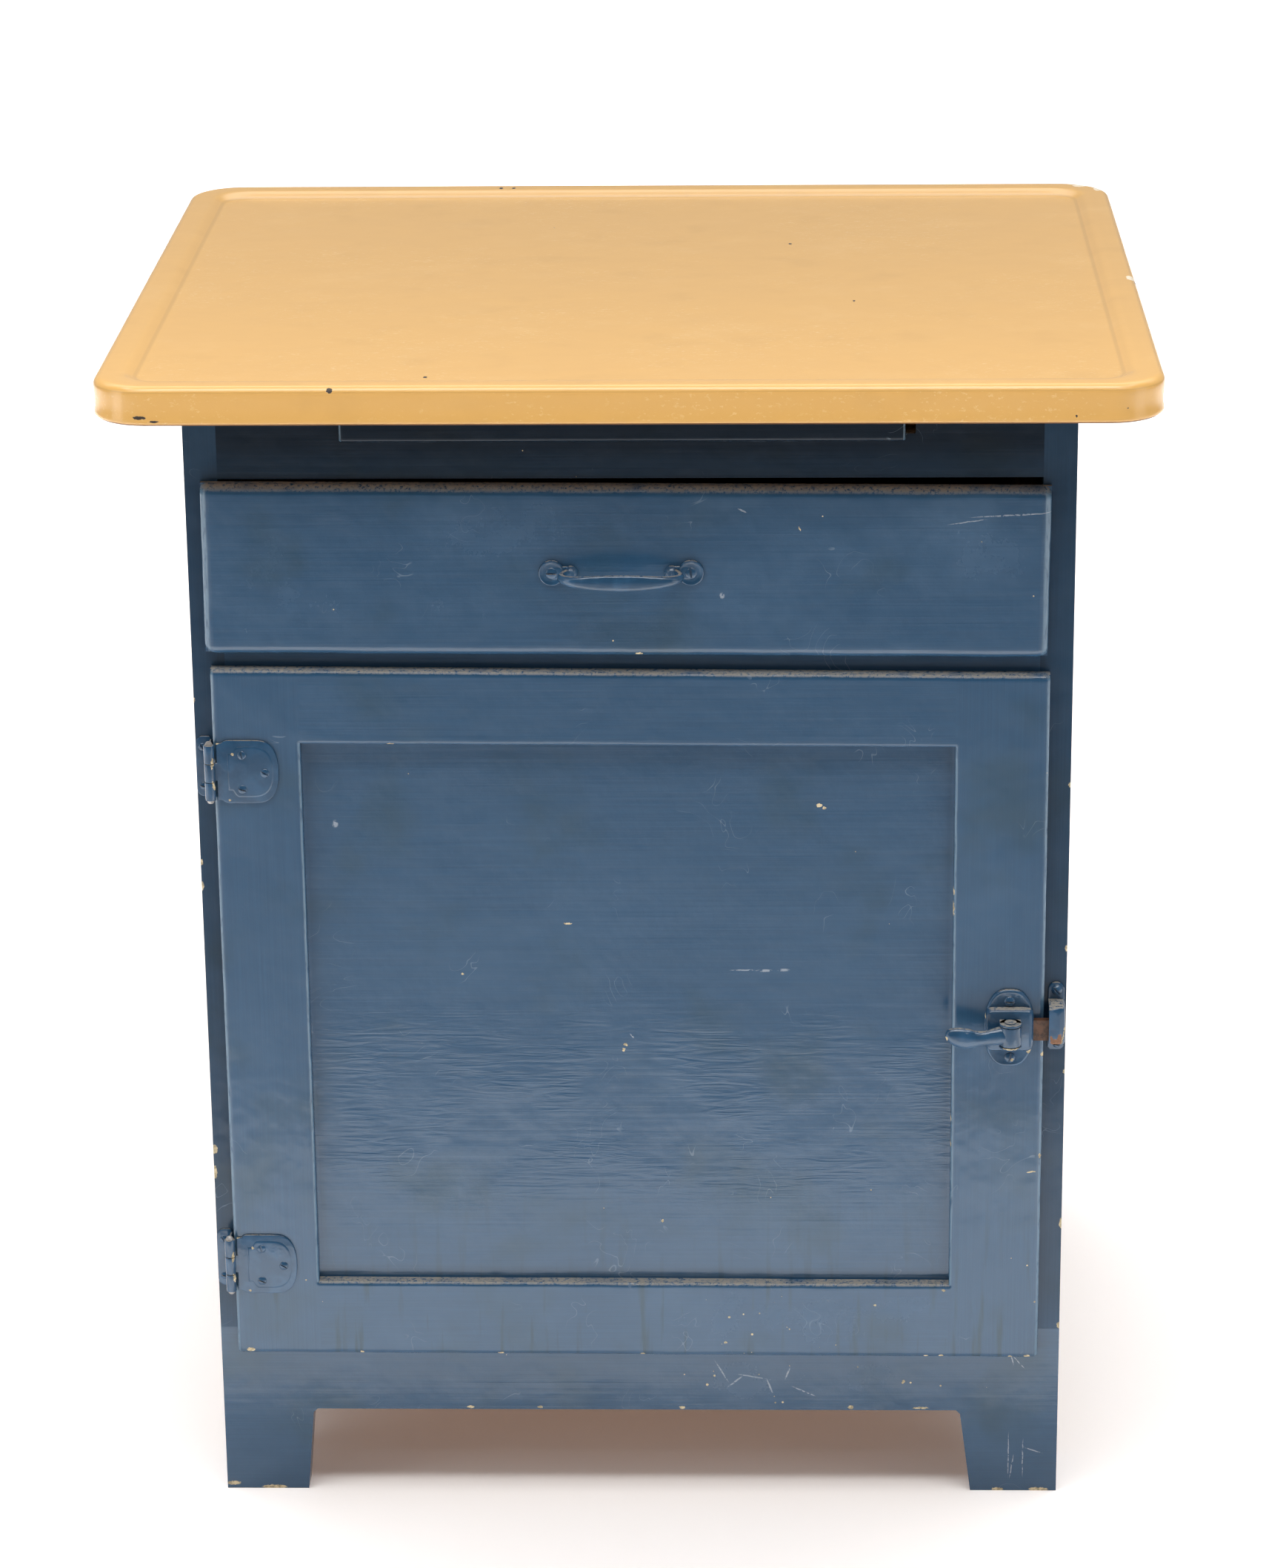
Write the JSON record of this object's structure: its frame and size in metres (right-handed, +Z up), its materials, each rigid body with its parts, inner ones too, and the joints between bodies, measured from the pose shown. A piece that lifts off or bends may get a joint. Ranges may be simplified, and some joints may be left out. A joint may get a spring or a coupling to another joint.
{
  "type": "icebox",
  "caption": "Small painted wooden icebox cabinet with an enamelled steel top, a pull-out board, a drawer and a framed door with surface hinges and a lever latch.",
  "frame": {"origin": "on the floor under the middle of the enamelled top", "axes": "x to the right as seen from the front, y to the back, z up"},
  "size_m": [0.722, 0.638, 0.8494],
  "materials": {
    "blue_painted_wood": "brushed satin oil paint, chipped",
    "blue_painted_metal": "overpainted satin, chipped",
    "bare_wood": "bare, aged",
    "yellow_enamel": "gloss vitreous enamel on steel",
    "zinc_sheet": "dull zinc sheet",
    "cork_board": "granulated cork",
    "plain_steel": "dull",
    "rusty_iron": "rusty, worn",
    "gasket_rubber": "matte"
  },
  "bodies": {
    "cabinet": {"left_side_panel": "blue_painted_wood", "right_side_panel": "blue_painted_wood", "base_apron": "blue_painted_wood", "top_rail": "blue_painted_wood", "middle_rail": "blue_painted_wood", "back_panel": "bare_wood", "bottom_board": "bare_wood", "compartment_ceiling": "bare_wood", "opening_frame": "bare_wood", "drawer_runners": "bare_wood", "board_guides": "bare_wood", "top_cleats": "bare_wood", "top_screws": "plain_steel", "core_board": "bare_wood", "enamel_top": "yellow_enamel", "cork_side_slabs": "cork_board", "cork_floor_slab": "cork_board", "cork_back_slab": "cork_board", "cork_ceiling_slab": "cork_board", "zinc_liner": "zinc_sheet", "shelf_cleats": "bare_wood", "ice_tray": "zinc_sheet", "ice_rack": "bare_wood", "wire_shelf": "zinc_sheet", "drain_pipe": "zinc_sheet", "drain_strainer": "zinc_sheet", "upper_hinge_frame_leaf": "blue_painted_metal", "lower_hinge_frame_leaf": "blue_painted_metal", "hinge_pins": "plain_steel", "frame_leaf_screws": "blue_painted_metal", "latch_keeper": "blue_painted_metal", "keeper_screws": "blue_painted_metal"},
    "door": {"door_hinge_stile": "blue_painted_wood", "door_latch_stile": "blue_painted_wood", "door_top_rail": "blue_painted_wood", "door_bottom_rail": "blue_painted_wood", "door_panel": "blue_painted_wood", "door_insulation": "cork_board", "door_inner_liner": "zinc_sheet", "door_gasket": "gasket_rubber", "upper_hinge_door_leaf": "blue_painted_metal", "lower_hinge_door_leaf": "blue_painted_metal", "door_leaf_screws": "blue_painted_metal", "latch_case": "blue_painted_metal", "latch_screws": "blue_painted_metal", "latch_pivot_pin": "blue_painted_metal"},
    "latch_lever": {"latch_lever": "blue_painted_metal"},
    "latch_bolt": {"latch_bolt": "rusty_iron", "latch_spring": "plain_steel"},
    "drawer": {"drawer_front": "blue_painted_wood", "drawer_left_side": "bare_wood", "drawer_right_side": "bare_wood", "drawer_back": "bare_wood", "drawer_bottom": "bare_wood", "drawer_pull": "blue_painted_metal", "pull_screws": "blue_painted_metal"},
    "pull_out_board": {"pull_out_board": "bare_wood", "board_front_strip": "blue_painted_wood"},
    "drip_pan": {"drip_pan": "zinc_sheet"}
  },
  "joints": [
    {"name": "door_hinge", "type": "hinge", "parent": "cabinet", "child": "door", "pos_m": [-0.2939, -0.2785, 0.3754], "axis": [0, 0, -1], "range_deg": [0, 170]},
    {"name": "latch_lever_pivot", "type": "hinge", "parent": "door", "child": "latch_lever", "pos_m": [0.2644, -0.291, 0.372], "axis": [0, 0, 1], "range_deg": [0, 30], "stiffness_Nm_per_rad": 0.05},
    {"name": "latch_bolt_slide", "type": "slide", "parent": "door", "child": "latch_bolt", "axis": [-1, 0, 0], "range_m": [0, 0.006]},
    {"name": "drawer_slide", "type": "slide", "parent": "cabinet", "child": "drawer", "axis": [0, -1, 0], "range_m": [0, 0.38]},
    {"name": "board_slide", "type": "slide", "parent": "cabinet", "child": "pull_out_board", "axis": [0, -1, 0], "range_m": [0, 0.34]},
    {"name": "drip_pan_slide", "type": "slide", "parent": "cabinet", "child": "drip_pan", "axis": [0, -1, 0], "range_m": [0, 0.4]}
  ],
  "couplings": [
    {"joint": "latch_bolt_slide", "follows": "latch_lever_pivot", "m_per_rad": 0.01146}
  ]
}
